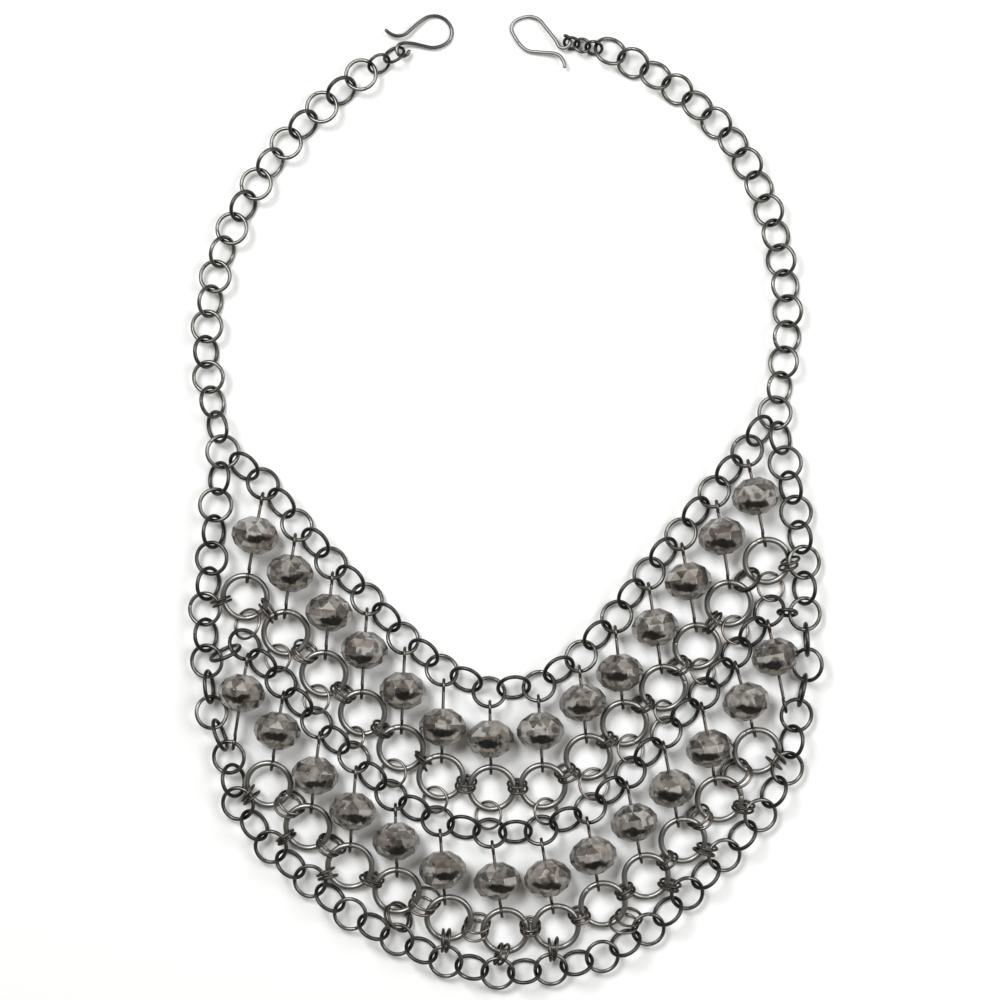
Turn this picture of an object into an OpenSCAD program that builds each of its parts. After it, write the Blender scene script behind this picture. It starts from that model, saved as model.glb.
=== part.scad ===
// Statement necklace laid flat: two neck chains with open hooks, and a bib of three link chains
// that carry two rows of glass beads and large open rings.
// Millimetres. X runs across the necklace, +Y toward the hooks, Z up from the surface it lies on.
// The origin is the middle of the bounding box, at the surface.

/* [Chain links] */
// Outer width of a link of the bib's three chains
link_od = 8.9; // [8.6:0.1:9.1]
// Outer width of a link of the two neck chains
neck_od = 8.6; // [8.4:0.05:8.8]
// Thickness of the link wire
link_wire = 1; // [0.7:0.05:1]

/* [Large rings] */
// Outer width of a large ring
ring_od = 12.5; // [11:0.1:12.8]
// Thickness of the ring wire
ring_wire = 1.5; // [1:0.1:1.7]
// Lean of a large ring, its bead's side up
ring_lean = 13; // [8:1:25]
// Height of a large ring's low side over the surface, where a jump ring passes under it
ring_lift = 0.75; // [0:0.05:1]

/* [Beads] */
// Width of a bead across its corners
bead_w = 11.8; // [9:0.1:11.8]
// Length of a bead along its pin
bead_l = 9.2; // [8:0.1:10.6]
// Bore through a bead
bead_bore = 1.2; // [0.9:0.05:1.5]

/* [Pins] */
// Thickness of the pin wire
pin_wire = 0.8; // [0.5:0.05:0.8]
// Radius of the wire's centre in a pin's upper loop
eye_upper = 1.55; // [1.3:0.05:1.7]
// Radius of the wire's centre in a pin's lower loop
eye_lower = 1.8; // [1.5:0.05:2]

/* [Hooks] */
// Thickness of the hook wire
hook_wire = 0.9; // [0.7:0.05:1.1]
// Thickness of the small rings between hook and chain
small_wire = 0.8; // [0.6:0.05:0.9]

/* [Hidden] */

link_r = (link_od - link_wire) / 2;
neck_r = (neck_od - link_wire) / 2;
ring_r = (ring_od - ring_wire) / 2;
play = 0.12;

// Way points of the neck chains, [x, y], from the hook to the link that starts the bib.
neck_left_way = [[-35.5, 106.5], [-50, 94], [-61.5, 79.5], [-70.3, 61.8], [-74, 43.3],
    [-73.5, 30], [-70, 12.3]];
neck_right_way = [[26.8, 112.5], [43, 103.3], [57.5, 89.8], [66.3, 73], [70.5, 54.3],
    [71, 41.3], [68, 22]];

// The bib's three chains, [x, y] of each flat link from left to right. A leaning link joins
// each one to the next. The neckline and the outer chain start and end at the neck chains.
neckline_way = [[-70, 12.3], [-60, 4.3], [-51.5, -6], [-43, -15.5], [-34, -24.5],
    [-25, -34.3], [-15.3, -42.3], [-3.5, -47.8], [9, -46.3], [19.5, -38.8], [28.4, -28.9],
    [36.5, -18.1], [44.46, -8.26], [52.8, 2.3], [61, 12.5], [68, 22]];
middle_way = [[-64.6, -35.9], [-55.5, -45.3], [-46.6, -55.4], [-37.3, -64], [-28, -73.5],
    [-16.3, -80], [-3.3, -83], [9.5, -82.3], [21.8, -76.8], [31.8, -67.8], [40.8, -57.8],
    [50.2, -48.05], [58.28, -37.9], [66.5, -27.5]];
outer_way = [[-70, 12.3], [-71.8, -1], [-72.8, -14.3], [-74.5, -27], [-74, -40],
    [-72.8, -52.8], [-68.5, -64], [-66.2, -75.6], [-58, -86.4], [-48.2, -95], [-38.2, -103.2],
    [-26.5, -109.5], [-14.3, -115], [-1.3, -118], [12, -117], [24.8, -113.8],
    [36.3, -107], [46, -98], [55.3, -88.5], [64.3, -78.5], [71, -66.8], [73.3, -53.5],
    [76.1, -40.9], [75.4, -28.2], [75.2, -15.3], [73.2, -2.8], [70.5, 9.5], [68, 22]];

// The bib's columns, [bead x, bead y, ring x, ring y]. The first and the last lower bead have
// no ring: there the last two say to which side of its outer link the pin goes.
upper_columns = [[-62, -8.5, -64.5, -24], [-54.5, -17.8, -54.3, -33],
    [-43.3, -27.8, -44.8, -43.2], [-35.5, -37.1, -35.1, -53], [-25, -47.3, -25.5, -61.8],
    [-15, -56.3, -15.5, -69], [-3.3, -59.3, -2.8, -71.8], [9.5, -57.3, 10, -71.3],
    [19.8, -50.3, 21.3, -64], [29, -42.8, 30.4, -55.6], [38, -31.5, 40.15, -46.7],
    [47, -19.9, 48.5, -36.35], [56.05, -8.55, 56.5, -25.65], [63.5, 1.3, 66, -15]];
lower_columns = [[-64.3, -48, -64, -53], [-56, -57.3, -58.6, -70.8],
    [-46.3, -68.5, -48.8, -81.5], [-37.8, -77.3, -38.3, -91.3], [-26.5, -84.8, -26.5, -97.5],
    [-15.8, -93, -13.5, -104.3], [-1.8, -94.8, 0.5, -107.5], [11, -94, 13.3, -106.5],
    [21.8, -88.5, 25, -100.8], [31.8, -80.3, 35.8, -93.8], [41.3, -71.8, 45, -84.8],
    [51, -61.8, 54.1, -74.5], [61.3, -49.8, 63.4, -62.5], [68.13, -38.8, 63.6, -46]];
// Links of the outer chain that the first and the last lower bead hang on.
lower_first_on = 12;
lower_last_on = 42;

// Hook wires, [x, y], from the tip round the hook to the end of the eye.
hook_left_way = [[-29.5, 118], [-28.3, 117], [-26.5, 116.4], [-24.5, 116.8], [-22.8, 118.3],
    [-20.8, 120], [-18.8, 121.3], [-16.5, 121.6], [-14.5, 120.8], [-13, 118.9],
    [-12.8, 116.8], [-13.8, 115], [-15.8, 113.9], [-17.8, 113.6], [-20.3, 114.1],
    [-22.8, 114.6], [-25, 114.6], [-26.2, 114], [-26.6, 112.9], [-26.2, 111.8],
    [-25, 111.3], [-23.9, 111.8], [-23.4, 112.9]];
hook_right_way = [[15.5, 108.3], [15.2, 109.8], [14.2, 111.4], [12.5, 112.1], [9.3, 112.4],
    [6.3, 112.8], [4.3, 114.3], [2.8, 116.5], [2, 118.5], [3, 120.3], [5, 121.2],
    [7, 121.4], [9, 120.6], [10.5, 118.8], [12, 116.9], [13.2, 115.3], [14, 113.8],
    [15.2, 113.3], [16.4, 113.9], [16.8, 115], [16.3, 116.1], [15.2, 116.6]];

function unit(v) = v / norm(v);

function pick(list, i) = list[max(0, min(len(list) - 1, i))];

// A point of the smooth curve through the way points p, at t of the span after point i.
function bend(p, i, t) =
    let (a = pick(p, i - 1), b = p[i], c = p[i + 1], d = pick(p, i + 2))
    (2 * b + (c - a) * t + (2 * a - 5 * b + 4 * c - d) * t * t
        + (3 * b - a - 3 * c + d) * t * t * t) / 2;

function curve(p, steps = 12) = concat(
    [for (i = [0 : len(p) - 2], j = [0 : steps - 1]) bend(p, i, j / steps)],
    [p[len(p) - 1]]);

// Length of the polyline c up to each of its points.
function run(c) = [for (i = 0, s = 0; i < len(c);
    i = i + 1, s = s + (i < len(c) ? norm(c[i] - c[i - 1]) : 0)) s];

// n + 1 points at equal steps along the smooth curve through p.
function spaced(p, n) =
    let (c = curve(p), s = run(c), total = s[len(s) - 1],
        xs = [for (i = [0 : len(c) - 1]) [s[i], c[i].x]],
        ys = [for (i = [0 : len(c) - 1]) [s[i], c[i].y]])
    [for (k = [0 : n]) [lookup(total * k / n, xs), lookup(total * k / n, ys)]];

// The flat links of a chain at p, and the links between them, moved aside to the left.
function linked(p, aside) = [for (i = [0 : 2 * len(p) - 2])
    i % 2 == 0 ? p[i / 2]
        : let (a = p[(i - 1) / 2], b = p[(i + 1) / 2], t = unit(b - a))
        (a + b) / 2 + aside * [-t.y, t.x]];

// Height of a link's centre when it leans by an angle and touches the surface.
function lying(lean) = link_r * sin(abs(lean)) + link_wire / 2;

// A link, [centre, normal]: it leans round the chain's direction t, its left side up.
function link(p, z, t, lean) =
    [[p.x, p.y, z], [t.y * sin(lean), -t.x * sin(lean), cos(lean)]];

// The links of a chain at the points p, leaning by the angles in leans and no lower than z.
function chain(p, z, leans) = [for (i = [0 : len(p) - 1])
    link(p[i], max(z, lying(leans[i])), unit(pick(p, i + 1) - pick(p, i - 1)), leans[i])];

// The last link of a neck chain is one of the bib's, and starts the bib.
neck_left = chain(spaced(neck_left_way, 17), lying(48),
    [for (i = [0 : 17]) i == 17 ? -8 : i == 16 ? 50 : i % 2 == 0 ? 12 : -48]);
neck_right = chain(spaced(neck_right_way, 17), lying(34),
    [for (i = [0 : 17]) i == 17 ? 8 : i == 16 ? -40 : i % 2 == 0 ? -32 : 32]);

neckline_all = chain(linked(neckline_way, 0.5), lying(45),
    [for (i = [0 : 30]) i % 2 == 0 ? -28 : 47]);
neckline = [for (i = [1 : 29]) neckline_all[i]];

middle = chain(linked(middle_way, 0), lying(44),
    [for (i = [0 : 26]) i == 24 ? -40 : i == 26 ? -36 : i % 2 == 0 ? -35 : 45]);

// The ends of the outer chain lean clear of the neckline's, and beside the first and the last
// lower bead its links lean under the bead.
function outer_lean(i) =
    i == 1 || i == 53 ? 50 : i == 2 || i == 52 ? -5 : i == 3 || i == 51 ? -55
    : i == 43 || i == 45 ? -90 : i == 9 || i == 11 ? -80
    : i == 44 ? -31 : i == 10 ? -23
    : i % 2 == 0 ? 14 : -52;
outer_all = chain(linked(outer_way, 0), lying(52), [for (i = [0 : 54]) outer_lean(i)]);
outer = [for (i = [1 : 53]) outer_all[i]];

// A ring of a chain's wire between the links a and b, at the height z.
function tie(a, b, z, lean) =
    let (d = b[0] - a[0])
    link((a[0] + b[0]) / 2, z, unit([d.x, d.y]), lean);

// The middle chain's ends are tied to the outer chain by a full link and by a small one.
small_link_r = 2.3;
left_tie = tie(middle[0], outer_all[8], lying(75), 75);
right_tie = tie(middle[26], outer_all[46], 4.6, 70);

// The point of a link or ring, [centre, normal], that lies toward q in plan.
function toward(ring, r, q) =
    let (d = [q.x - ring[0].x, q.y - ring[0].y, 0], n = ring[1])
    ring[0] + r * unit(d - n * (n * d));

// A large ring at p, [centre, normal], leaning up toward its bead at q.
function big_ring(p, q) =
    let (e = unit([q.x - p.x, q.y - p.y]))
    [[p.x, p.y, ring_r * sin(ring_lean) + ring_wire / 2 + play + ring_lift],
        [-e.x * sin(ring_lean), -e.y * sin(ring_lean), cos(ring_lean)]];

upper_rings_at = [for (c = upper_columns) big_ring([c[2], c[3]], [c[0], c[1]])];
lower_rings_at = [for (i = [1 : 12]) let (c = lower_columns[i])
    big_ring([c[2], c[3]], [c[0], c[1]])];

bead_z = bead_w / 2 * cos(18);

// A pin through the bead at q from the wire point a to the wire point b:
// [upper loop's centre, lower loop's centre, direction, bead's centre].
function pin(a, b, q) =
    let (u = unit([b.x - a.x, b.y - a.y, 0]),
        la = a + 0.2 * u + [0, 0, 0.3],
        lb = b - 0.2 * u + [0, 0, 0.3],
        total = (lb - la) * u,
        half = bead_l / 2 + pin_wire / 2 + play,
        s = max(eye_upper + half, min(total - eye_lower - half, ([q.x, q.y, 0] - la) * u)))
    [la, lb, u, [la.x + u.x * s, la.y + u.y * s, bead_z]];

upper_pins_at = [for (i = [0 : 13]) let (c = upper_columns[i], q = [c[0], c[1]])
    pin(toward(neckline[2 * i + 1], link_r, q), toward(upper_rings_at[i], ring_r, q), q)];
lower_pins_at = [for (i = [0 : 13]) let (c = lower_columns[i], q = [c[0], c[1]],
        last = i == 0 ? toward(outer_all[lower_first_on], link_r, [c[2], c[3]])
            : i == 13 ? toward(outer_all[lower_last_on], link_r, [c[2], c[3]])
            : toward(lower_rings_at[i - 1], ring_r, q))
    pin(toward(middle[2 * i], link_r, q), last, q)];

// Corners of a bead along its pin, [place, radius, turn in steps].
bead_rows = [[-0.5, 0.17, 0], [-0.32, 0.41, 0.5], [-0.1, 0.5, 0],
    [0.1, 0.5, 0], [0.32, 0.41, 0.5], [0.5, 0.17, 0]];
bead_sides = 10;

module wire_ring(at, r, wire) {
    n = at[1];
    translate(at[0])
        rotate([0, acos(n.z), atan2(n.y, n.x)])
            rotate_extrude($fn = 64)
                translate([r, 0])
                    circle(d = wire, $fn = 24);
}

module pin_body(p) {
    u = p[2];
    side = [-u.y, u.x, 0];
    drop_a = bead_z - p[0].z;
    drop_b = bead_z - p[1].z;
    start = p[0] + u * sqrt(eye_upper * eye_upper - drop_a * drop_a);
    end = p[1] - u * sqrt(eye_lower * eye_lower - drop_b * drop_b);
    union() {
        wire_ring([p[0], side], eye_upper, pin_wire);
        wire_ring([p[1], side], eye_lower, pin_wire);
        translate([start.x, start.y, bead_z])
            rotate([0, 90, atan2(u.y, u.x)])
                cylinder(d = pin_wire - 0.06, h = (end - start) * u, $fn = 24);
    }
}

// Faceted bead along Z: two flat ends, two bands of triangles each side, flat facets round it.
module bead_body() {
    n = bead_sides;
    rows = len(bead_rows);
    points = [for (row = bead_rows, k = [0 : n - 1])
        let (a = (k + 0.5 + row[2]) * 360 / n)
        [bead_w * row[1] * cos(a), bead_w * row[1] * sin(a), bead_l * row[0]]];
    bands = [for (i = [0 : rows - 2], k = [0 : n - 1])
        let (a = i * n + k, b = i * n + (k + 1) % n, c = a + n, d = b + n,
            turn = bead_rows[i + 1][2] - bead_rows[i][2])
        each turn == 0 ? [[a, c, d, b]]
            : turn > 0 ? [[a, c, b], [b, c, d]]
            : [[a, c, d], [a, d, b]]];
    ends = [[for (k = [0 : n - 1]) k], [for (k = [n - 1 : -1 : 0]) (rows - 1) * n + k]];
    difference() {
        polyhedron(points = points, faces = concat(bands, ends), convexity = 2);
        cylinder(d = bead_bore, h = bead_l + 2, center = true, $fn = 24);
    }
}

module bead(p) {
    translate(p[3])
        rotate([0, 90, atan2(p[2].y, p[2].x)])
            bead_body();
}

// A round wire along the smooth curve through flat way points.
module bent_wire(way, wire, sides = 8, steps = 3) {
    c = curve(way, steps);
    last = len(c) - 1;
    points = [for (i = [0 : last], k = [0 : sides - 1])
        let (t = unit(pick(c, i + 1) - pick(c, i - 1)), a = k * 360 / sides)
        [c[i].x - t.y * cos(a) * wire / 2, c[i].y + t.x * cos(a) * wire / 2,
            sin(a) * wire / 2]];
    skin = [for (i = [0 : last - 1], k = [0 : sides - 1])
        let (a = i * sides + k, b = i * sides + (k + 1) % sides)
        each [[a, a + sides, b], [b, a + sides, b + sides]]];
    ends = [[for (k = [0 : sides - 1]) k], [for (k = [sides - 1 : -1 : 0]) last * sides + k]];
    polyhedron(points = points, faces = concat(skin, ends), convexity = 6);
}

// The hook's eye is at this height, and its far end on the surface.
eye_z = 2.1;

module hook(way, eye, far) {
    dir = unit(far - eye);
    slope = asin((eye_z - hook_wire / 2) / norm(far - eye));
    translate([eye.x, eye.y, eye_z])
        rotate(atan2(dir.y, dir.x))
            rotate([0, slope, 0])
                rotate(-atan2(dir.y, dir.x))
                    translate([-eye.x, -eye.y, 0])
                        bent_wire(way, hook_wire);
}

// Small rings between an eye at e and the first link at p: [radius, place, height, lean].
left_rings = [[2.7, 0.215, 2.5, 50], [2.75, 0.57, 3, -48]];
right_rings = [[1.9, 0.17, 2.1, 50], [1.9, 0.4, 2.2, -25], [2.05, 0.65, 2.3, 48]];

function small_ring(e, p, row) =
    let (t = unit(p - e), c = e + (p - e) * row[1])
    link(c, row[2], t, row[3]);

eye_left = [-25, 113];
eye_right = [15.2, 115];

// Puts the middle of the bounding box over the origin.
module centred() translate([-0.58, 0.15, 0]) children();

module neck_chain(links) {
    for (i = [0 : 16]) wire_ring(links[i], neck_r, link_wire);
    wire_ring(links[17], link_r, link_wire);
}

module neck_chain_left() color([0.42, 0.42, 0.4]) centred() neck_chain(neck_left);

module neck_chain_right() color([0.42, 0.42, 0.4]) centred() neck_chain(neck_right);

module neckline_chain() color([0.42, 0.42, 0.4]) centred()
    for (l = neckline) wire_ring(l, link_r, link_wire);

module middle_chain() color([0.42, 0.42, 0.4]) centred() {
    for (l = middle) wire_ring(l, link_r, link_wire);
    wire_ring(left_tie, link_r, link_wire);
    wire_ring(right_tie, small_link_r, link_wire);
}

module outer_chain() color([0.42, 0.42, 0.4]) centred()
    for (l = outer) wire_ring(l, link_r, link_wire);

module upper_pins() color([0.4, 0.4, 0.38]) centred()
    for (p = upper_pins_at) pin_body(p);

module lower_pins() color([0.4, 0.4, 0.38]) centred()
    for (p = lower_pins_at) pin_body(p);

module upper_rings() color([0.45, 0.45, 0.42]) centred()
    for (r = upper_rings_at) wire_ring(r, ring_r, ring_wire);

module lower_rings() color([0.45, 0.45, 0.42]) centred()
    for (r = lower_rings_at) wire_ring(r, ring_r, ring_wire);

module hook_left() color([0.4, 0.4, 0.38]) centred()
    hook(hook_left_way, eye_left, [-13, 118.9]);

module hook_right() color([0.4, 0.4, 0.38]) centred()
    hook(hook_right_way, eye_right, [2, 118.8]);

module hook_rings_left() color([0.4, 0.4, 0.38]) centred()
    for (row = left_rings)
        wire_ring(small_ring(eye_left, neck_left_way[0], row), row[0], small_wire);

module hook_rings_right() color([0.4, 0.4, 0.38]) centred()
    for (row = right_rings)
        wire_ring(small_ring(eye_right, neck_right_way[0], row), row[0], small_wire);

module upper_bead(i) color([0.5, 0.48, 0.47]) centred() bead(upper_pins_at[i - 1]);

module lower_bead(i) color([0.5, 0.48, 0.47]) centred() bead(lower_pins_at[i - 1]);

neck_chain_left();
neck_chain_right();
neckline_chain();
middle_chain();
outer_chain();
upper_pins();
lower_pins();
upper_rings();
lower_rings();
hook_left();
hook_right();
hook_rings_left();
hook_rings_right();
upper_bead(1);  // upper_bead_1
upper_bead(2);  // upper_bead_2
upper_bead(3);  // upper_bead_3
upper_bead(4);  // upper_bead_4
upper_bead(5);  // upper_bead_5
upper_bead(6);  // upper_bead_6
upper_bead(7);  // upper_bead_7
upper_bead(8);  // upper_bead_8
upper_bead(9);  // upper_bead_9
upper_bead(10);  // upper_bead_10
upper_bead(11);  // upper_bead_11
upper_bead(12);  // upper_bead_12
upper_bead(13);  // upper_bead_13
upper_bead(14);  // upper_bead_14
lower_bead(1);  // lower_bead_1
lower_bead(2);  // lower_bead_2
lower_bead(3);  // lower_bead_3
lower_bead(4);  // lower_bead_4
lower_bead(5);  // lower_bead_5
lower_bead(6);  // lower_bead_6
lower_bead(7);  // lower_bead_7
lower_bead(8);  // lower_bead_8
lower_bead(9);  // lower_bead_9
lower_bead(10);  // lower_bead_10
lower_bead(11);  // lower_bead_11
lower_bead(12);  // lower_bead_12
lower_bead(13);  // lower_bead_13
lower_bead(14);  // lower_bead_14
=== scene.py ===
"""A bib necklace laid on a pale table: link chains, faceted glass beads on wire pins and large
rings, all of dark plated wire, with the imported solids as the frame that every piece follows."""
import math

import bpy
import numpy as np
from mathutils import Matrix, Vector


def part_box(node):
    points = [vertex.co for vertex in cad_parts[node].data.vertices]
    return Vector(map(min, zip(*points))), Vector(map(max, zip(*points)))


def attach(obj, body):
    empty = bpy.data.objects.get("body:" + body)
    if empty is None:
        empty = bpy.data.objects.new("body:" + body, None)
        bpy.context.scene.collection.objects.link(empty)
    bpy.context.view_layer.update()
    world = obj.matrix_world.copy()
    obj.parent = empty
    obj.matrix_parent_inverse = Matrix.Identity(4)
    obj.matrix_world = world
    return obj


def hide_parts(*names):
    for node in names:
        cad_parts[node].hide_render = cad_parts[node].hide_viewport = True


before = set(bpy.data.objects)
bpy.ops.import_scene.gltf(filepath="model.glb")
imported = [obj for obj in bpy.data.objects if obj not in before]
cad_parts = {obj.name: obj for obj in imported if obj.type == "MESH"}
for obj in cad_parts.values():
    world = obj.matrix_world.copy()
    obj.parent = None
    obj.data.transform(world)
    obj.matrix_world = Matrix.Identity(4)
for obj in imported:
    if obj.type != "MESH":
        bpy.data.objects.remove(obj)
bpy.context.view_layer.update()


# The table and the light. The necklace lies flat on a plain white table, and the camera looks
# straight down on it from 0.9 m with a long lens. Two wide soft boxes stand left and right of it,
# and the ceiling over the camera is left dim, so polished wire shows a bright and a dark side.
CAMERA_HEIGHT = 0.9
VIEW_WIDTH = 0.250
VIEW_LEVEL = 0.003
VIEW_MIDDLE = (-0.00133, 0.0004)
FILM_WIDTH = 36
TABLE_REACH = 3
TABLE_WHITE = (0.84, 0.84, 0.833, 1)
BOX_LIGHT = (0.97, 0.985, 1)
ROOM_LIGHT = (1.0, 0.91, 0.79, 1)

camera = bpy.data.objects.new("camera", bpy.data.cameras.new("camera"))
camera.data.sensor_width = FILM_WIDTH
camera.data.lens = FILM_WIDTH * (CAMERA_HEIGHT - VIEW_LEVEL) / VIEW_WIDTH
camera.location = (*VIEW_MIDDLE, CAMERA_HEIGHT)
camera.data.clip_start = 0.01
bpy.context.scene.collection.objects.link(camera)
bpy.context.scene.camera = camera


def soft_box(name, place, size, watts):
    """A square lamp at place that faces the middle of the table."""
    lamp = bpy.data.objects.new(name, bpy.data.lights.new(name, "AREA"))
    lamp.data.shape = "SQUARE"
    lamp.data.size = size
    lamp.data.energy = watts
    lamp.data.color = BOX_LIGHT
    lamp.location = place
    lamp.rotation_euler = lamp.location.to_track_quat("Z", "Y").to_euler()
    bpy.context.scene.collection.objects.link(lamp)


soft_box("left_box", (-0.38, 0.42, 0.95), 0.45, 10.5)
soft_box("right_box", (0.62, 0.12, 0.80), 0.6, 6.9)

world = bpy.data.worlds.new("room")
world.use_nodes = True
world.node_tree.nodes["Background"].inputs["Color"].default_value = ROOM_LIGHT
world.node_tree.nodes["Background"].inputs["Strength"].default_value = 0.18
bpy.context.scene.world = world
bpy.context.scene.view_settings.view_transform = "Standard"


def new_piece(name, points, *groups, smooth=True):
    """A mesh object at the origin from an array of points and arrays of faces, one for each
    number of corners."""
    mesh = bpy.data.meshes.new(name)
    corners = np.concatenate([faces.ravel() for faces in groups])
    sizes = np.concatenate([np.full(len(faces), faces.shape[1]) for faces in groups])
    mesh.vertices.add(len(points))
    mesh.vertices.foreach_set("co", np.asarray(points, np.float32).ravel())
    mesh.loops.add(len(corners))
    mesh.loops.foreach_set("vertex_index", corners.astype(np.int32))
    mesh.polygons.add(len(sizes))
    mesh.polygons.foreach_set("loop_start", (np.cumsum(sizes) - sizes).astype(np.int32))
    mesh.polygons.foreach_set("use_smooth", np.full(len(sizes), smooth))
    mesh.update(calc_edges=True)
    mesh.validate()
    piece = bpy.data.objects.new(name, mesh)
    bpy.context.scene.collection.objects.link(piece)
    return piece


table_corners = np.array([[-1, -1, 0], [1, -1, 0], [1, 1, 0], [-1, 1, 0]]) * TABLE_REACH
table = new_piece("table", table_corners, np.array([[0, 1, 2, 3]]), smooth=False)
table_paint = bpy.data.materials.new("table_white")
table_paint.use_nodes = True
table_finish = table_paint.node_tree.nodes["Principled BSDF"]
table_finish.inputs["Base Color"].default_value = TABLE_WHITE
table_finish.inputs["Roughness"].default_value = 0.7
table_finish.inputs["Specular IOR Level"].default_value = 0.2
table.data.materials.append(table_paint)


# The chains. Every chain is made of round links of 1 mm steel wire, bent to a ring with a butt
# cut, hooked into each other and plated a dark gunmetal grey. Where a link touches other wire it
# is painted black: painted shade, with some of the dark finish kept in the joins. Each link has a
# random tone of its own, and one that leans is painted darker, as are the bib's chains: painted
# shade.
LINK_AROUND = 34
LINK_SIDES = 10
CUT_ANGLES = np.array([0, 0.02, 0.055])
CUT_WIDTHS = np.array([0.8, 0.955, 1])
CUT_CLEAR = 0.2
# Painted shade, with some dark finish kept in the joins: wire is blackened near other wire.
CONTACT_REACH = 0.0018
CONTACT_SEARCH = 0.012
SAME_PLACE = 0.00001
CLOUD_SCALE = 260
GRAIN_SCALE = 1900
GRAIN_DEPTH = 0.00004
DULL_FROM, DULL_TO = 0.62, 0.80
BLACK_FROM, BLACK_TO = 0.55, 1.15
DULLING = 2.6
TONE_SPREAD = 0.6
# Painted shade: a ring's tone darkens as it leans from level, and the bib's chains are darker
# still.
LEAN_SHADE_LEVEL = 0.82
LEAN_SHADE = 4
BIB_SHADE = 1
SEED = 41
rng = np.random.default_rng(SEED)


def solids_of(name):
    """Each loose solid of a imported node: its points, and the number of its solid for each.

    Two points belong together when a row of edges joins them, so each point takes the lowest
    number among its neighbours until nothing changes."""
    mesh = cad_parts[name].data
    flat = np.empty(len(mesh.vertices) * 3, np.float32)
    mesh.vertices.foreach_get("co", flat)
    points, row = np.unique(flat.reshape(-1, 3), axis=0, return_inverse=True)
    ends = np.empty(len(mesh.edges) * 2, np.int32)
    mesh.edges.foreach_get("vertices", ends)
    ends = row.ravel()[ends].reshape(-1, 2)
    label = np.arange(len(points))
    while True:
        low = label[ends].min(1)
        new = label.copy()
        np.minimum.at(new, ends[:, 0], low)
        np.minimum.at(new, ends[:, 1], low)
        new = new[new]
        if (new == label).all():
            break
        label = new
    return points.astype(float), np.unique(label, return_inverse=True)[1]


def rings_of(name):
    """Centre, normal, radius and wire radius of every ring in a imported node.

    The centre is the mean of a ring's points, the normal the direction in which they spread
    least, the radius their mean distance from the axis, and the wire's radius the most that any
    of them lies over the ring's plane."""
    points, label = solids_of(name)
    count = np.bincount(label)
    centre = np.stack([np.bincount(label, points[:, k]) for k in range(3)], 1) / count[:, None]
    away = points - centre[label]
    spread = np.stack([[np.bincount(label, away[:, j] * away[:, k]) for j in range(3)]
                       for k in range(3)]).transpose(2, 0, 1)
    normal = np.linalg.eigh(spread)[1][:, :, 0]
    normal *= np.where(normal[:, 2] < 0, -1, 1)[:, None]
    up = (away * normal[label]).sum(1)
    out = np.sqrt((away ** 2).sum(1) - up ** 2)
    radius = np.bincount(label, out) / count
    wire = np.zeros(len(count))
    np.maximum.at(wire, label, np.abs(up))
    order = np.lexsort((centre[:, 1], centre[:, 0]))
    return centre[order], normal[order], radius[order], wire[order]


def wire_skin(count, rows, sides, closed):
    """Faces between the circles of points round each of several wires.

    Point j of circle i of wire k has the number (k * rows + i) * sides + j, and on a closed wire
    the last circle meets the first."""
    steps = rows if closed else rows - 1
    k, i, j = np.meshgrid(np.arange(count), np.arange(steps), np.arange(sides), indexing="ij")
    near = (k * rows + i) * sides
    far = (k * rows + (i + 1) % rows) * sides
    beside = (j + 1) % sides
    return np.stack([near + j, far + j, far + beside, near + beside], -1).reshape(-1, 4)


def wire_rings(centre, normal, radius, wire, around, sides):
    """Points and faces of rings of round wire with a butt cut.

    A point is the centre, plus radius + wire cos(v) along the direction at u, plus wire sin(v)
    along the normal. The wire is pinched a little where its ends meet, at u = 0, which is turned
    to a random side of each ring."""
    turn = 2 * np.pi
    u = np.concatenate([CUT_ANGLES, np.linspace(CUT_CLEAR, turn - CUT_CLEAR, around),
                        turn - CUT_ANGLES[:0:-1]])
    pinch = np.concatenate([CUT_WIDTHS, np.ones(around), CUT_WIDTHS[:0:-1]])
    v = np.arange(sides) * turn / sides
    aside = np.cross(normal, rng.normal(size=normal.shape))
    a = aside / np.linalg.norm(aside, axis=1, keepdims=True)
    b = np.cross(normal, a)
    outward = np.cos(u)[:, None] * a[:, None] + np.sin(u)[:, None] * b[:, None]
    r = wire[:, None, None] * pinch[:, None]
    reach = radius[:, None, None] + r * np.cos(v)
    points = (centre[:, None, None] + reach[..., None] * outward[:, :, None]
              + (r * np.sin(v))[..., None] * normal[:, None, None])
    return points.reshape(-1, 3), wire_skin(len(centre), len(u), sides, True)


def gap_to(points, wires):
    """Distance from each point to the surface of each ring's wire: the hypotenuse of its height
    over the ring's plane and its distance from the ring's circle in that plane, less the wire's
    radius."""
    centre, normal, radius, wire = wires
    away = points[..., None, :] - centre
    up = (away * normal).sum(-1)
    out = np.sqrt(np.maximum((away ** 2).sum(-1) - up ** 2, 0)) - radius
    return np.sqrt(up ** 2 + out ** 2) - wire


def contact_nearness(points, wires, own=None):
    """1 where another ring's wire touches a point, falling smoothly to 0 at CONTACT_REACH from it.
    The wire is painted black by it: painted shade, with some dark finish kept in the joins.

    own holds the centres of the rings that the points belong to, an equal share of the points
    each, so that no ring darkens itself."""
    groups = points[None] if own is None else points.reshape(len(own), -1, 3)
    gap = np.full(groups.shape[:2], 1.0)
    for k, block in enumerate(groups):
        close = np.linalg.norm(wires[0] - block.mean(0), axis=1) < wires[2] + CONTACT_SEARCH
        if own is not None:
            close &= np.linalg.norm(wires[0] - own[k], axis=1) > SAME_PLACE
        gap[k] = gap_to(block, [part[close] for part in wires]).min(1, initial=1.0)
    near = np.clip(1 - gap.ravel() / CONTACT_REACH, 0, 1)
    return near * near * (3 - 2 * near)


def give(piece, name, values, domain="POINT"):
    """Puts one number for each point or face on a piece, for its material to read."""
    piece.data.attributes.new(name, "FLOAT", domain).data.foreach_set(
        "value", np.asarray(values, np.float32))


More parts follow.
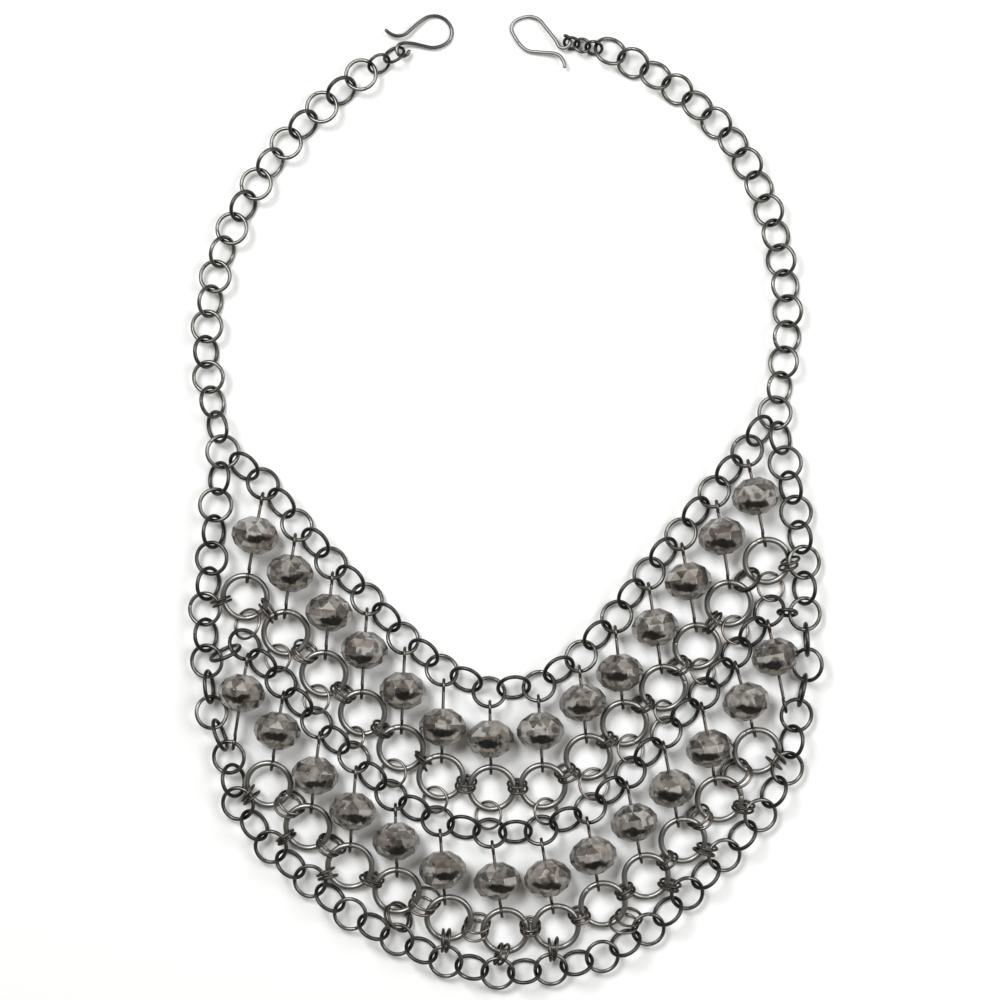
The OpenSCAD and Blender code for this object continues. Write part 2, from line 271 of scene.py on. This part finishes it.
class Value:
    """A shader socket that can be added, subtracted, multiplied and raised like a number."""

    def __init__(self, socket):
        self.socket = socket
        self.tree = socket.id_data

    def math(self, operation, a, b):
        return node(self.tree, "ShaderNodeMath", {"operation": operation}, {0: a, 1: b})

    def __add__(self, other):
        return self.math("ADD", self, other)

    def __sub__(self, other):
        return self.math("SUBTRACT", self, other)

    def __rsub__(self, other):
        return self.math("SUBTRACT", other, self)

    def __mul__(self, other):
        return self.math("MULTIPLY", self, other)

    def __pow__(self, other):
        return self.math("POWER", self, other)

    def __rpow__(self, other):
        return self.math("POWER", other, self)

    __radd__ = __add__
    __rmul__ = __mul__


def node(tree, kind, settings=None, sockets=None, out=0):
    """A shader node of a kind, its settings made first and then its sockets, as a Value."""
    new = tree.nodes.new(kind)
    for key, value in (settings or {}).items():
        setattr(new, key, value)
    for key, value in (sockets or {}).items():
        if isinstance(value, Value):
            tree.links.new(value.socket, new.inputs[key])
        else:
            new.inputs[key].default_value = value
    return Value(new.outputs[out])


def object_place(tree):
    """The point of the piece that is being coloured, in metres."""
    return node(tree, "ShaderNodeTexCoord", out=3)


def given(tree, name):
    """The number that was given to the piece under a name."""
    return node(tree, "ShaderNodeAttribute", {"attribute_name": name}, out=2)


def mix(tree, factor, a, b):
    """Colour a where factor is 0, colour b where it is 1."""
    return node(tree, "ShaderNodeMix", {"data_type": "RGBA"}, {0: factor, 6: a, 7: b}, out=2)


def ramp(tree, value, low, high):
    """0 up to low and 1 from high on, or the other way round where low is the larger, and smooth
    between them."""
    return node(tree, "ShaderNodeMapRange", {"interpolation_type": "SMOOTHSTEP"},
                {"Value": value, "From Min": low, "From Max": high})


def noise(tree, place, scale, detail):
    """Soft noise from 0 to 1 with features about 1 / scale metres wide."""
    return node(tree, "ShaderNodeTexNoise", {}, {"Vector": place, "Scale": scale, "Detail": detail})


def gunmetal(name, bright, dark, tint, patina, rough):
    """Plated wire with dulled clouds and a fine grain, duller where its given tone is high, a
    random tone with painted shade in it, and black where other wire touches it: painted shade, with
    some dark finish kept in the joins.

    bright is the grey of the clear plating and dark that of the black, both tinted. patina is how
    much of the wire has dulled, and rough the least roughness."""
    bright_grey, dull_grey, dark_grey = (
        (*(level * part for part in tint), 1)
        for level in (bright, (bright + dark) / DULLING, dark))
    material = bpy.data.materials.new(name)
    material.use_nodes = True
    tree = material.node_tree
    place = object_place(tree)
    clouds = noise(tree, place, CLOUD_SCALE, 3)
    grain = noise(tree, place, GRAIN_SCALE, 3)
    # The tone is random plus painted shade, and it dulls the plating further.
    age_and_shade = clouds * 0.75 + grain * 0.25 + given(tree, "tone_and_shade") * 0.20
    dull = ramp(tree, age_and_shade, DULL_FROM - patina, DULL_TO - patina)
    # Black where other wire touches: painted shade, with some dark finish kept in the joins.
    black = ramp(tree, given(tree, "contact_finish_and_shade") + grain * 0.5, BLACK_FROM, BLACK_TO)
    plating = mix(tree, dull, bright_grey, dull_grey)
    colour = mix(tree, black, plating, dark_grey)
    roughness = grain * 0.18 + dull * 0.08 + black * 0.12 + rough
    bump = node(tree, "ShaderNodeBump", {},
                {"Height": grain, "Strength": 0.25, "Distance": GRAIN_DEPTH})
    finish = tree.nodes["Principled BSDF"]
    finish.inputs["Metallic"].default_value = 1.0
    tree.links.new(colour.socket, finish.inputs["Base Color"])
    tree.links.new(roughness.socket, finish.inputs["Roughness"])
    tree.links.new(bump.socket, finish.inputs["Normal"])
    return material


def ring_piece(name, found, around, sides, material, replaced=None, extra_shade=0):
    """One piece of all the rings found, with the nearness of other wire, for painted contact shade,
    and a tone for each ring: a random one of its own plus painted shade, darker for rings that lean
    than for those that lie level, and darker by extra_shade for the bib's chains."""
    points, faces = wire_rings(*found, around, sides)
    piece = new_piece(name, points, faces)
    give(piece, "contact_finish_and_shade", contact_nearness(points, all_rings, found[0]))
    lean = LEAN_SHADE_LEVEL - np.abs(found[1][:, 2])
    tone_and_shade = rng.uniform(-TONE_SPREAD, TONE_SPREAD, len(lean)) + lean * LEAN_SHADE + extra_shade
    give(piece, "tone_and_shade", np.repeat(tone_and_shade, len(points) // len(tone_and_shade)))
    piece.data.materials.append(material)
    if replaced:
        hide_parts(replaced)
    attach(piece, "root")


chains = ["neck_chain_left", "neck_chain_right", "neckline_chain", "middle_chain", "outer_chain"]
other_rings = ["upper_rings", "lower_rings", "hook_rings_left", "hook_rings_right"]
rings = {name: rings_of(name) for name in chains + other_rings}
all_rings = [np.concatenate([rings[name][k] for name in rings]) for k in range(4)]
chain_metal = gunmetal("chain_gunmetal", 0.17, 0.014, (1.0, 0.99, 0.90), 0.10, 0.24)
for name in chains:
    # The bib's chains get painted shade.
    extra_shade = 0 if name.startswith("neck_chain") else BIB_SHADE
    ring_piece(name + "_links", rings[name], LINK_AROUND, LINK_SIDES, chain_metal,
               name, extra_shade)


# The large rings. Two rows of rings hang under the beads. Each is a turn of 1.5 mm steel wire with
# its ends butted, tumbled smooth and plated like the chain but a little duller.
RING_AROUND = 58
RING_SIDES = 16
ring_metal = gunmetal("ring_gunmetal", 0.29, 0.022, (1.0, 0.985, 0.93), 0.13, 0.32)
for name in ("upper_rings", "lower_rings"):
    ring_piece(name + "_wire", rings[name], RING_AROUND, RING_SIDES, ring_metal,
               name)


# The pins. Each bead sits on a piece of 0.8 mm wire whose ends are bent round into loops, a small
# one above round the chain's link and a larger one below round the ring or link that it carries.
# The straight stem between the loops runs through the middle of the beads.
PIN_WIRE = 0.0004
PIN_SIDES = 10
WORN_END = 0.8
LOOP_A = 0.00155
LOOP_B = 0.0018
LOOP_GAP = 0.00056
LOOP_STOP = 0.24
LOOP_STEPS = 30
ELBOW = 0.00045
ELBOW_STEPS = 6
TIP = 0.4
UP = np.array([0, 0, 1.0])
STEM_HEIGHT = np.mean(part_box("upper_bead_1"), axis=0)[2]


def pins_of(name):
    """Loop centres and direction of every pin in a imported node.

    A pin runs along the direction in which its points spread most in plan, from its end nearer
    the hooks. A loop's centre is a loop's radius and half the wire inside that end, and as much
    over the lowest point of the loop."""
    points, label = solids_of(name)
    found = []
    for k in range(label.max() + 1):
        own = points[label == k]
        plan = own[:, :2] - own[:, :2].mean(0)
        u = np.linalg.eigh(plan.T @ plan)[1][:, 1]
        u = u * (-1 if u[1] > 0 else 1)
        s = own[:, :2] @ u
        side = own[:, :2] @ [-u[1], u[0]]
        middle = np.array([-u[1], u[0]]) * (side.min() + side.max()) / 2
        ends = []
        for reach, edge, inward in ((LOOP_A, s.min(), 1), (LOOP_B, s.max(), -1)):
            outer = reach + PIN_WIRE
            loop = own[np.abs(s - edge) < 2 * outer]
            ends.append([*(middle + u * (edge + inward * outer)), loop[:, 2].min() + outer])
        found.append((*ends, [u[0], u[1], 0]))
    return [np.array(part) for part in zip(*found)]


def sweep(paths, side, wire, sides):
    """Round wires along plane paths, all with equally many points, with closed ends.

    Round each path point lie sides points, at wire times the cosine of v across the path in its
    plane and wire times the sine of v along side, the normal of that plane. wire holds the
    radius at every path point, so an end can be rounded off, and each end is closed by a cone of
    triangles, TIP times the radius there high."""
    step = np.gradient(paths, axis=1)
    t = step / np.linalg.norm(step, axis=2, keepdims=True)
    side = np.broadcast_to(side[:, None], t.shape)
    across = np.cross(t, side)
    v = np.arange(sides) * 2 * np.pi / sides
    r = wire[:, None, None]
    skin = (paths[:, :, None] + r * (np.cos(v)[:, None] * across[:, :, None]
                                     + np.sin(v)[:, None] * side[:, :, None]))
    tips = np.concatenate([paths[:, 0] - t[:, 0] * wire[0] * TIP,
                           paths[:, -1] + t[:, -1] * wire[-1] * TIP])
    count, length = paths.shape[:2]
    k, j = np.meshgrid(np.arange(count), np.arange(sides), indexing="ij")
    beside = (j + 1) % sides
    first = k * length * sides
    last = first + (length - 1) * sides
    tip = count * length * sides + k
    cones = np.concatenate([np.stack([tip, first + j, first + beside], -1),
                            np.stack([tip + count, last + beside, last + j], -1)])
    points = np.concatenate([skin.reshape(-1, 3), tips])
    return points, wire_skin(count, length, sides, False), cones.reshape(-1, 3)


def pin_loop(centre, radius, inward):
    """The middle line of one loop of each pin, onto the stem.

    The loop starts LOOP_GAP over the stem and runs up and round its circle, till LOOP_STOP short
    of the corner where the circle comes back to the stem's height. From there a curve, with the
    corner as its handle, turns it onto the stem."""
    rise = np.arcsin((STEM_HEIGHT - centre[:, 2]) / radius)
    cut = np.arcsin(np.minimum(1, np.sin(rise) + LOOP_GAP / radius))
    share = np.linspace(0, 1, LOOP_STEPS)
    angle = cut[:, None] + (rise + 2 * np.pi - LOOP_STOP - cut)[:, None] * share
    circle = centre[:, None] + radius * (np.cos(angle)[..., None] * inward[:, None]
                                         + np.sin(angle)[..., None] * UP)
    corner = centre + radius * (np.cos(rise)[:, None] * inward + np.sin(rise)[:, None] * UP)
    end = corner + inward * ELBOW
    m = np.linspace(0, 1, ELBOW_STEPS)[1:, None]
    elbow = ((1 - m) ** 2 * circle[:, -1:] + 2 * m * (1 - m) * corner[:, None]
             + m ** 2 * end[:, None])
    return np.concatenate([circle, elbow], axis=1)


def pin_paths(a, b, u):
    """The middle line of each pin: loop, elbow, straight stem, elbow, loop."""
    return np.concatenate([pin_loop(a, LOOP_A, u), pin_loop(b, LOOP_B, -u)[:, ::-1]], axis=1)


pin_metal = gunmetal("pin_gunmetal", 0.13, 0.012, (1.0, 0.86, 0.76), 0.12, 0.24)
pins = {}
for row in ("upper", "lower"):
    pins[row] = pins_of(row + "_pins")
    paths = pin_paths(*pins[row])
    u = pins[row][2]
    wire = np.full(paths.shape[1], PIN_WIRE)
    wire[[0, -1]] *= WORN_END
    side = np.stack([-u[:, 1], u[:, 0], u[:, 2]], 1)
    points, quads, cones = sweep(paths, side, wire, PIN_SIDES)
    piece = new_piece(row + "_pins_wire", points, quads, cones)
    # Nearness of other wire, painted as black shade with some dark finish where they meet.
    give(piece, "contact_finish_and_shade", contact_nearness(points, all_rings))
    give(piece, "tone_and_shade", np.zeros(len(points)))
    piece.data.materials.append(pin_metal)
    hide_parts(row + "_pins")
    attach(piece, "root")


# The beads. Each is a barrel of smoky pressed glass with a bore along it, ten flat facets round its
# middle and two rows of twenty triangles on either side of them. The edges between the facets are
# fire polished, which rounds them a little.
BEADS_IN_ROW = 14
BEAD_W = 0.0118
BEAD_L = 0.0092
BORE = 0.0006
BEAD_SIDES = 10
POLISH = 0.00013
FLAT_ANGLE = 0.15
DARK_SMOKE_REFLECTION = (0.052, 0.049, 0.043, 1)
PALE_SMOKE_REFLECTION = (0.53, 0.50, 0.45, 1)
WARM_SMOKE = (0.20, 0.148, 0.13, 1)
CREAM_LIGHT = (0.42, 0.385, 0.31, 1)
GLINT_HIGHLIGHT = (0.60, 0.585, 0.55, 1)
SPECK = (0.022, 0.021, 0.018, 1)
RIM_SHADE = (0.035, 0.034, 0.030, 1)
LENS_REFLECTION = (0.007, 0.006, 0.005, 1)
WAVE_SCALE = 420
STREAK_SCALE = 620
BLOTCH_SCALE = 380
LENS_SAG = 0.045
LENS_BELOW = 1.6
LENS_ACROSS = 0.27
LENS_UPRIGHT = 0.85
RIM_FROM, RIM_TO = 4.9, 5.6
WARMEST = 0.8
STRAY_ACROSS = 1.1
STRAY_BELOW = 0.6
MM = 0.001


def bead_shape():
    """Corners and faces of a bead along Z: six rings of ten corners, each ring halfway round from
    its neighbours except the middle two, and two rings more at the ends of the bore.

    A corner lies at its ring's radius times the cosine and the sine of its angle."""
    place = np.array([-0.5, -0.5, -0.32, -0.1, 0.1, 0.32, 0.5, 0.5]) * BEAD_L
    radius = np.array([BORE / BEAD_W, 0.17, 0.41, 0.5, 0.5, 0.41, 0.17, BORE / BEAD_W]) * BEAD_W
    turn = np.array([0, 0, 0.5, 0, 0, 0.5, 0, 0])
    angle = (np.arange(BEAD_SIDES) + 0.5 + turn[:, None]) * 2 * np.pi / BEAD_SIDES
    points = np.stack([radius[:, None] * np.cos(angle), radius[:, None] * np.sin(angle),
                       np.broadcast_to(place[:, None], angle.shape)], -1).reshape(-1, 3)
    k = np.arange(BEAD_SIDES)
    beside = (k + 1) % BEAD_SIDES
    quads, triangles = [], []
    for low, high in ((0, 1), (3, 4), (6, 7), (7, 0)):
        low, high = low * BEAD_SIDES, high * BEAD_SIDES
        quads.append(np.stack([low + k, low + beside, high + beside, high + k], 1))
    for low, high in ((1, 2), (2, 3), (4, 5), (5, 6)):
        rises = turn[high] > turn[low]
        low, high = low * BEAD_SIDES, high * BEAD_SIDES
        a, b, c, d = low + k, low + beside, high + k, high + beside
        halves = ((a, b, c), (b, d, c)) if rises else ((a, d, c), (a, b, d))
        triangles += [np.stack(half, 1) for half in halves]
    return points, np.concatenate(quads), np.concatenate(triangles)


def smoky_glass(name):
    """Grey glass: every facet has a tone of its own, some a warm one, and the glass carries painted
    light: the facet tones stand partly for painted reflection, some facets carry a painted glint, a
    painted dark reflection lies across the lower half as a lens, with a band of painted light seen
    through the glass under it, and painted shade darkens the rim.

    across and below are millimetres from a bead's middle, and reach the distance from it. The
    lens is an ellipse LENS_BELOW under the middle, with LENS_ACROSS and LENS_UPRIGHT about one
    over its half axes. Its sides sag and its edge is wavy."""
    material = bpy.data.materials.new(name)
    material.use_nodes = True
    tree = material.node_tree
    place = object_place(tree)
    facet = given(tree, "facet")
    across = given(tree, "across")
    below = given(tree, "below")
    wave = noise(tree, place, WAVE_SCALE, 2) - 0.5
    streak = noise(tree, place, STREAK_SCALE, 1)
    blotch = noise(tree, place, BLOTCH_SCALE, 1)
    sag = below + across ** 2.0 * LENS_SAG + wave * 2.2
    far = ((across + wave * 2.0) * LENS_ACROSS) ** 2.0 + ((sag - LENS_BELOW) * LENS_UPRIGHT) ** 2.0
    reach = (across ** 2.0 + below ** 2.0) ** 0.5
    # Painted dark reflection across the lower half of the bead.
    lens = ramp(tree, far + streak, 1.75, 0.85)
    # Painted shade darkening the bead towards its rim.
    rim_shade = ramp(tree, reach + wave * 0.8, RIM_FROM, RIM_TO)
    # Painted light seen through the glass: a paler band under the dark reflection.
    pale_band_light = ramp(tree, below + wave * 1.5, 2.2, 3.0) * ramp(tree, blotch, 0.35, 0.6)
    # Painted highlight: a glint on some facets.
    glint_highlight = ramp(tree, facet + streak * 0.35, 0.95, 1.07)
    speck = ramp(tree, blotch + facet * 0.12, 0.60, 0.72)
    # The glass's smoky grey with painted reflection that differs from facet to facet.
    smoke_and_reflection = ramp(tree, facet * 0.85 + streak * 0.8, 0.25, 1.25)
    colour = mix(tree, smoke_and_reflection, DARK_SMOKE_REFLECTION, PALE_SMOKE_REFLECTION)
    colour = mix(tree, given(tree, "warm"), colour, WARM_SMOKE)
    for share, tint in ((pale_band_light * 0.75, CREAM_LIGHT), (glint_highlight * 0.75, GLINT_HIGHLIGHT), (speck * 0.7, SPECK),
                        (rim_shade * 0.6, RIM_SHADE), (lens * 0.97, LENS_REFLECTION)):
        colour = mix(tree, share, colour, tint)
    roughness = streak * 0.10 + 0.03
    finish = tree.nodes["Principled BSDF"]
    tree.links.new(colour.socket, finish.inputs["Base Color"])
    tree.links.new(roughness.socket, finish.inputs["Roughness"])
    finish.inputs["IOR"].default_value = 1.52
    finish.inputs["Transmission Weight"].default_value = 0.4
    return material


bead_glass = smoky_glass("bead_glass")
shape, bead_quads, bead_triangles = bead_shape()
faces_of_bead = len(bead_quads) + len(bead_triangles)
beads = []
for row in ("upper", "lower"):
    for k in range(BEADS_IN_ROW):
        node_name = "%s_bead_%d" % (row, k + 1)
        centre = np.mean(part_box(node_name), axis=0)
        beads.append(centre)
        nearest = np.argmin(np.linalg.norm((pins[row][0] + pins[row][1]) / 2 - centre, axis=1))
        u = pins[row][2][nearest]
        side = np.array([-u[1], u[0], 0])
        points = centre + shape @ np.stack([-UP, side, u])
        piece = new_piece(node_name + "_glass", points, bead_quads, bead_triangles, smooth=False)
        edge = piece.modifiers.new("polish", "BEVEL")
        edge.width = POLISH
        edge.segments = 2
        edge.limit_method = "ANGLE"
        edge.angle_limit = FLAT_ANGLE
        # Random facet tones, which carry the painted reflection and glints.
        give(piece, "facet", rng.uniform(0, 1, faces_of_bead), "FACE")
        give(piece, "warm", rng.uniform(0, WARMEST, faces_of_bead) ** 2, "FACE")
        away = (points - centre) / MM
        give(piece, "across", away[:, 0] + rng.uniform(-STRAY_ACROSS, STRAY_ACROSS))
        give(piece, "below", -away[:, 1] + rng.uniform(-STRAY_BELOW, STRAY_BELOW))
        piece.data.materials.append(bead_glass)
        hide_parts(node_name)
        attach(piece, "root")
beads = np.array(beads)


# The jump rings. Small rings of 0.7 mm wire, most in pairs, tie each large ring to its neighbours
# in the row and to the chain below it. Each is opened, hooked round the two wires that it holds
# and pressed shut, and lies as it finds room between the pieces round it.
JUMP_WIRE = 0.00036
JUMP_AROUND = 28
JUMP_SIDES = 10
JUMP_SMALLEST, JUMP_USUAL, JUMP_LARGEST = 0.0021, 0.0024, 0.0039
JUMP_EXTRA = 0.0012
SIZE_FAULT = 0.02
THROWN = 2500
THROW_PLACE = 0.0008
THROW_RADIUS = 0.0004
SHAKES = 0.35 * 0.6 ** np.arange(7)
SHAKE_NORMAL = 0.7
SHAKE_PLACE = 0.001
SHAKE_RADIUS = 0.0007
KEPT = 10
COPIES = 30
CIRCLE_STEPS = 32
ROOM_WANTED = 0.00009
ROOM_NEEDED = 0.00003
MOST_TRIES = 5
ASKEW = [0.31, 0.22, 0.93]
NEAR_RINGS, NEAR_BEADS, NEAR_PINS = 0.0075, 0.014, 0.008
LEVEL_LINK = 0.9
TINY = 1e-12


def circles(centre, normal, radius, steps):
    """Points of each of several circles: the centre, plus the radius times the cosine of v along
    one direction in the circle's plane and the sine of v along the other."""
    level = np.cross(normal, ASKEW)
    level /= np.linalg.norm(level, axis=1, keepdims=True)
    steep = np.cross(normal, level)
    v = np.linspace(0, 2 * np.pi, steps, endpoint=False)[:, None]
    return centre[:, None] + radius[:, None, None] * (np.cos(v) * level[:, None]
                                                      + np.sin(v) * steep[:, None])


def held(line, others):
    """Whether each closed line goes through each ring.

    Where two points after each other lie on both sides of the ring's plane, the line meets the
    plane between them, and it goes through when it does so inside the ring an odd number of
    times."""
    height = ((line[:, :, None] - others[0]) * others[1]).sum(-1)
    after = np.roll(height, -1, 1)
    share = height / (height - after + TINY)
    step = np.roll(line, -1, 1) - line
    meet = line[:, :, None] + share[..., None] * step[:, :, None]
    inside = np.linalg.norm(meet - others[0], axis=-1) < others[2]
    return ((height * after < 0) & inside).sum(1) % 2 == 1


def room(line, others, near_beads, near_pins):
    """Least distance from the wire along each line to the other rings, beads, pins and table."""
    gap = gap_to(line, others).min((1, 2))
    for points, thick in ((near_beads, BEAD_W / 2), (near_pins, PIN_WIRE)):
        far = np.linalg.norm(line[:, :, None] - points, axis=-1)
        gap = np.minimum(gap, far.min((1, 2), initial=1) - thick)
    return np.minimum(gap, line[:, :, 2].min(1)) - JUMP_WIRE


def toward(ring, goal):
    """The point of a ring's circle that lies toward goal in plan."""
    away = (goal - ring[0]) * [1, 1, 0]
    away = away - ring[1] * (away @ ring[1])
    return ring[0] + ring[2] * away / np.linalg.norm(away)


def fitted(first, goals, placed, chance):
    """The best place, normal, radius and room of a jump ring that goes round the ring first and
    one of the rings in goals, and round nothing else.

    Many rings are thrown round the middle between the two wires. The best are then copied and
    shaken, less and less, and the very best is kept. A ring fits better the more room it has, up
    to ROOM_WANTED, and the smaller it is, down to JUMP_USUAL."""
    a, b = ([part[k] for part in placed] for k in (first, goals[len(goals) // 2]))
    a, b = toward(a, b[0]), toward(b, a[0])
    middle = (a + b) / 2
    close = np.flatnonzero(np.linalg.norm(placed[0] - middle, axis=1) < placed[2] + NEAR_RINGS)
    others = [part[close] for part in placed]
    near_beads = beads[np.linalg.norm(beads - middle, axis=1) < NEAR_BEADS]
    near_pins = pin_points[np.linalg.norm(pin_points - middle, axis=1) < NEAR_PINS]
    normal = chance.normal(size=(THROWN, 3))
    place = middle + chance.normal(size=(THROWN, 3)) * THROW_PLACE
    usual = np.linalg.norm(b - a) / 2 + JUMP_EXTRA
    radius = usual + chance.normal(size=THROWN) * THROW_RADIUS
    for shake in (*SHAKES, None):
        normal /= np.linalg.norm(normal, axis=1, keepdims=True)
        radius = np.clip(radius, JUMP_SMALLEST, JUMP_LARGEST)
        line = circles(place, normal, radius, CIRCLE_STEPS)
        link = held(line, others)
        fits = (link[:, close == first].any(1) & (link[:, np.isin(close, goals)].sum(1) == 1)
                & (link.sum(1) == 2))
        gap = np.full(len(line), -1.0)
        gap[fits] = room(line[fits], others, near_beads, near_pins)
        faults = SIZE_FAULT * np.maximum(radius - JUMP_USUAL, 0) - np.minimum(gap, ROOM_WANTED)
        best = np.argsort(faults)[:KEPT]
        if shake is None:
            return place[best[0]], normal[best[0]], radius[best[0]], gap[best[0]]
        again = np.concatenate([best, np.repeat(best, COPIES)])
        shake = np.concatenate([np.zeros(KEPT), np.full(KEPT * COPIES, shake)])
        count = len(again)
        normal = normal[again] + chance.normal(size=(count, 3)) * SHAKE_NORMAL * shake[:, None]
        place = place[again] + chance.normal(size=(count, 3)) * SHAKE_PLACE * shake[:, None]
        radius = radius[again] + chance.normal(size=count) * SHAKE_RADIUS * shake


start = dict(zip(rings, np.cumsum([0] + [len(rings[name][0]) for name in rings])))
pin_points = np.concatenate([pin_paths(*pins[row]).reshape(-1, 3) for row in ("upper", "lower")])
outer = rings["outer_chain"][0]
level_links = np.flatnonzero(rings["outer_chain"][1][:, 2] > LEVEL_LINK)


def near_outer(name, k):
    """The level link of the outer chain that is nearest to a large ring."""
    away = (outer[level_links] - rings[name][0][k])[:, :2]
    return level_links[np.argmin(np.linalg.norm(away, axis=1))]


uppers, lowers = (len(rings[name][0]) for name in ("upper_rings", "lower_rings"))
ties = [("upper_rings", k, "middle_chain", [2 * k, 2 * k + 1, 2 * k + 2]) for k in range(uppers)]
ties += [("lower_rings", k, "outer_chain", [near_outer("lower_rings", k)]) for k in range(lowers)]
ties += [("upper_rings", k, "outer_chain", [near_outer("upper_rings", k)]) for k in (0, uppers - 1)]
ties += [("upper_rings", k, "upper_rings", [k + 1]) for k in range(uppers - 1)]
ties += [("lower_rings", k, "lower_rings", [k + 1]) for k in range(lowers - 1)]
ties += ties[uppers:]
placed = all_rings
chance = np.random.default_rng(SEED)
for name, k, other, choice in ties:
    goals = start[other] + np.array(choice)
    tries = [fitted(start[name] + k, goals, placed, chance)]
    while tries[-1][3] < ROOM_NEEDED and len(tries) < MOST_TRIES:
        tries.append(fitted(start[name] + k, goals, placed, chance))
    own = max(tries, key=lambda found: found[3])
    placed = [np.concatenate([part, [value]]) for part, value in zip(placed, (*own[:3], JUMP_WIRE))]
jumps = [part[len(all_rings[0]):] for part in placed]
all_rings = placed
jump_metal = gunmetal("jump_gunmetal", 0.25, 0.05, (1.0, 0.88, 0.79), 0.10, 0.28)
ring_piece("jump_rings", jumps, JUMP_AROUND, JUMP_SIDES, jump_metal)


# The hooks. Each end of the necklace has a hook of 0.9 mm wire that is bent to an eye at one end
# and to an open hook at the other, with its tips filed round. Small rings join it to the chain.
HOOK_WIRE = 0.00045
HOOK_SIDES = 16
HOOK_STEPS = 5
HOOK_TIPS = [0.6, 0.93, 0.93, 0.6]
EYE_HEIGHT = 0.0021
SMALL_RING_AROUND = 34
SMALL_RING_SIDES = 12
CENTRE_SHIFT = np.array([-0.58, 0.15])


def smooth_way(way, steps):
    """Points of a curve through the way points: between two of them it is the cubic whose slope at
    each is half the way from its neighbour before to its neighbour after."""
    p = np.concatenate([way[:1], way, way[-1:]])
    a, b, c, d = p[:-3, None], p[1:-2, None], p[2:-1, None], p[3:, None]
    t = (np.arange(steps) / steps)[None, :, None]
    curve = (2 * b + (c - a) * t + (2 * a - 5 * b + 4 * c - d) * t ** 2
             + (3 * b - a - 3 * c + d) * t ** 3) / 2
    return np.concatenate([curve.reshape(-1, 2), way[-1:]])


# Each hook's eye, its far end, and its wire's way from the tip round to the end of the eye, in
# millimetres from where the source draws them, which CENTRE_SHIFT moves to the frame's origin.
hook_ways = {
    "left": ((-25, 113), (-13, 118.9), [
        (-29.5, 118), (-28.3, 117), (-26.5, 116.4), (-24.5, 116.8), (-22.8, 118.3), (-20.8, 120),
        (-18.8, 121.3), (-16.5, 121.6), (-14.5, 120.8), (-13, 118.9), (-12.8, 116.8),
        (-13.8, 115), (-15.8, 113.9), (-17.8, 113.6), (-20.3, 114.1), (-22.8, 114.6),
        (-25, 114.6), (-26.2, 114), (-26.6, 112.9), (-26.2, 111.8), (-25, 111.3),
        (-23.9, 111.8), (-23.4, 112.9)]),
    "right": ((15.2, 115), (2, 118.8), [
        (15.5, 108.3), (15.2, 109.8), (14.2, 111.4), (12.5, 112.1), (9.3, 112.4), (6.3, 112.8),
        (4.3, 114.3), (2.8, 116.5), (2, 118.5), (3, 120.3), (5, 121.2), (7, 121.4),
        (9, 120.6), (10.5, 118.8), (12, 116.9), (13.2, 115.3), (14, 113.8), (15.2, 113.3),
        (16.4, 113.9), (16.8, 115), (16.3, 116.1), (15.2, 116.6)])}
hook_metals = {"left": gunmetal("hook_gunmetal", 0.14, 0.014, (1.0, 0.98, 0.93), 0.12, 0.22),
               "right": gunmetal("hook_pale_metal", 0.27, 0.04, (1.0, 0.99, 0.97), 0.06, 0.36)}
for side_name, (eye, far, way) in hook_ways.items():
    eye, far = np.array(eye, float), np.array(far)
    along = (far - eye) / np.linalg.norm(far - eye)
    beside = np.array([-along[1], along[0]])
    slope = math.asin((EYE_HEIGHT - HOOK_WIRE) / MM / np.linalg.norm(far - eye))
    flat_way = smooth_way(np.array(way, float), HOOK_STEPS) - eye
    s, w = flat_way @ along, flat_way @ beside
    plan = eye + CENTRE_SHIFT + s[:, None] * math.cos(slope) * along + w[:, None] * beside
    path = np.column_stack([plan, EYE_HEIGHT / MM - s * math.sin(slope)]) * MM
    wire = np.full(len(path), HOOK_WIRE)
    wire[[0, 1, -2, -1]] *= HOOK_TIPS
    side = np.array([[along[0] * math.sin(slope), along[1] * math.sin(slope), math.cos(slope)]])
    points, quads, cones = sweep(path[None], side, wire, HOOK_SIDES)
    piece = new_piece("hook_%s_wire" % side_name, points, quads, cones)
    # Nearness of other wire, painted as black shade with some dark finish where they meet.
    give(piece, "contact_finish_and_shade", contact_nearness(points, all_rings))
    give(piece, "tone_and_shade", np.zeros(len(points)))
    piece.data.materials.append(hook_metals[side_name])
    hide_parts("hook_" + side_name)
    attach(piece, "root")
    rings_name = "hook_rings_" + side_name
    ring_piece(rings_name + "_wire", rings[rings_name], SMALL_RING_AROUND, SMALL_RING_SIDES,
               hook_metals["left"], rings_name)
